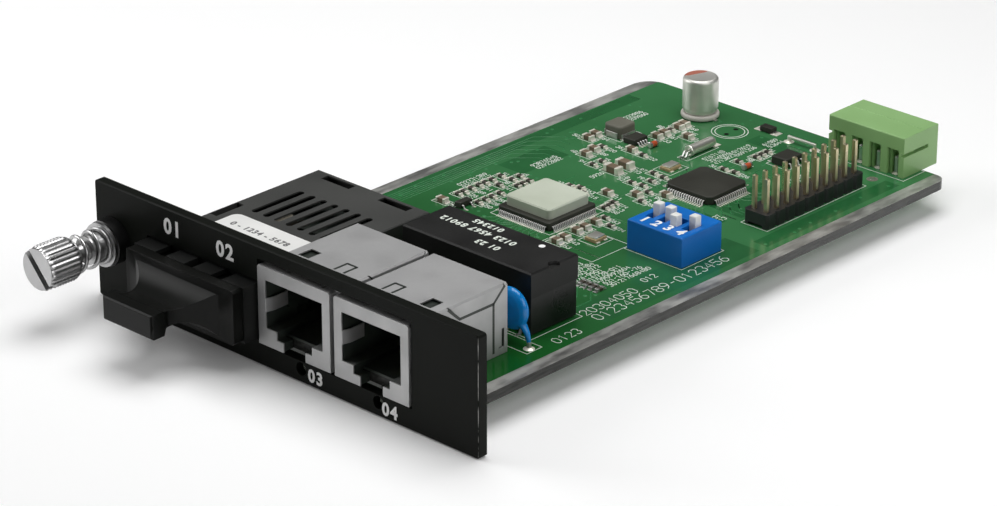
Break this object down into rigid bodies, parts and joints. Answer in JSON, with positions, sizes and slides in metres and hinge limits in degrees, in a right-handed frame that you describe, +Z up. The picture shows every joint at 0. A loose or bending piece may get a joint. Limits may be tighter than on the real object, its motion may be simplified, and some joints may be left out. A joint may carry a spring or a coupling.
{
  "type": "fibre media converter card",
  "caption": "Slide-in media converter card: black faceplate with captive thumbscrew, duplex fibre socket with dust plug, shielded network jacks, green board behind.",
  "frame": {"origin": "under the middle of the whole part's box, on its resting plane", "axes": "+X along the panel away from the thumbscrew, +Y from the panel's face to the rear edge, +Z up off the board"},
  "size_m": [0.084, 0.1404, 0.02],
  "materials": {
    "panel_black": "satin black anodised aluminium",
    "sleeve_black": "moulded, satin",
    "nickel": "turned steel, nickel plated, satin",
    "spring_steel": "drawn wire",
    "zinc_steel": "zinc plated",
    "optic_grey": "moulded, fine grain",
    "optic_cover": "matte dark grey sheet",
    "label_paper": "matt film",
    "board_green": "solder mask over laminate",
    "gold_steel": "barrel, satin",
    "ceramic": "ground ceramic",
    "gold": "gold plated",
    "tin": "tinned",
    "plug_black": "soft moulded, satin",
    "shield": "nickel plated sheet, satin",
    "insert_black": "moulded",
    "lamp": "clear epoxy",
    "case_black": "moulded, satin",
    "disc_blue": "dipped epoxy",
    "chip_black": "moulded, matt",
    "pad_pale": "soft pad, matt",
    "can_metal": "drawn can, satin",
    "base_pale": "moulded",
    "switch_blue": "moulded, semi gloss",
    "slider_white": "moulded",
    "header_black": "moulded",
    "terminal_green": "moulded, semi gloss",
    "crystal": "drawn can",
    "ferrite": "ferrite",
    "diode_body": "glass and epoxy",
    "chip_part_brown": "ceramic",
    "chip_part_dark": "film on ceramic"
  },
  "bodies": {
    "card": {"front_panel": "panel_black", "screw_sleeve": "sleeve_black", "screw_ferrule": "nickel", "screw_spring": "spring_steel", "panel_brackets": "zinc_steel", "bracket_screws": "zinc_steel", "bracket_nut": "zinc_steel", "transceiver_housing": "optic_grey", "transceiver_cover": "optic_cover", "transceiver_label": "label_paper", "transceiver_board": "board_green", "transmitter_barrel": "gold_steel", "receiver_barrel": "gold_steel", "ferrule_sleeves": "ceramic", "transceiver_pins": "tin", "jack_shield_1": "shield", "jack_shield_2": "shield", "jack_insert_1": "insert_black", "jack_insert_2": "insert_black", "jack_contacts_1": "gold", "jack_contacts_2": "gold", "status_lamps": "lamp", "circuit_board": "board_green", "transformer_cap": "case_black", "transformer_tray": "case_black", "transformer_leads": "tin", "disc_capacitor": "disc_blue", "disc_capacitor_leads": "tin", "main_chip": "chip_black", "main_chip_leads": "tin", "heat_pad": "pad_pale", "control_chip": "chip_black", "control_chip_leads": "tin", "can_capacitor": "can_metal", "can_capacitor_base": "base_pale", "can_capacitor_leads": "tin", "dip_switch_body": "switch_blue", "dip_switch_pins": "tin", "header_base": "header_black", "header_pins": "gold", "terminal_housing": "terminal_green", "terminal_pins": "tin", "crystal_can": "crystal", "crystal_leads": "tin", "flat_crystals": "crystal", "power_inductor": "ferrite", "diodes": "diode_body", "small_chips": "chip_black", "small_chip_leads": "tin", "chip_capacitors": "chip_part_brown", "chip_resistors": "chip_part_dark", "jumper_link": "tin"},
    "plug": {"dust_plug": "plug_black"},
    "screw_ring": {"screw_retaining_ring": "spring_steel"},
    "screw": {"thumbscrew": "nickel"},
    "slider_1": {"dip_slider_1": "slider_white"},
    "slider_2": {"dip_slider_2": "slider_white"},
    "slider_3": {"dip_slider_3": "slider_white"},
    "slider_4": {"dip_slider_4": "slider_white"}
  },
  "joints": [
    {"name": "screw_push", "type": "slide", "parent": "card", "child": "screw_ring", "axis": [0, 1, 0], "range_m": [0, 0.004], "stiffness_N_per_m": 250, "springref_m": -0.004, "deforming": ["screw_spring"]},
    {"name": "screw_turn", "type": "hinge", "parent": "screw_ring", "child": "screw", "pos_m": [-0.0378, -0.05435, 0.0108], "axis": [0, 1, 0], "continuous": true},
    {"name": "plug_pull", "type": "slide", "parent": "card", "child": "plug", "axis": [0, -1, 0], "range_m": [0, 0.012]},
    {"name": "slider_1_slide", "type": "slide", "parent": "card", "child": "slider_1", "axis": [0, 1, 0], "range_m": [-0.00175, 0]},
    {"name": "slider_2_slide", "type": "slide", "parent": "card", "child": "slider_2", "axis": [0, 1, 0], "range_m": [-0.00175, 0]},
    {"name": "slider_3_slide", "type": "slide", "parent": "card", "child": "slider_3", "axis": [0, 1, 0], "range_m": [0, 0.00175]},
    {"name": "slider_4_slide", "type": "slide", "parent": "card", "child": "slider_4", "axis": [0, 1, 0], "range_m": [-0.00175, 0]}
  ]
}
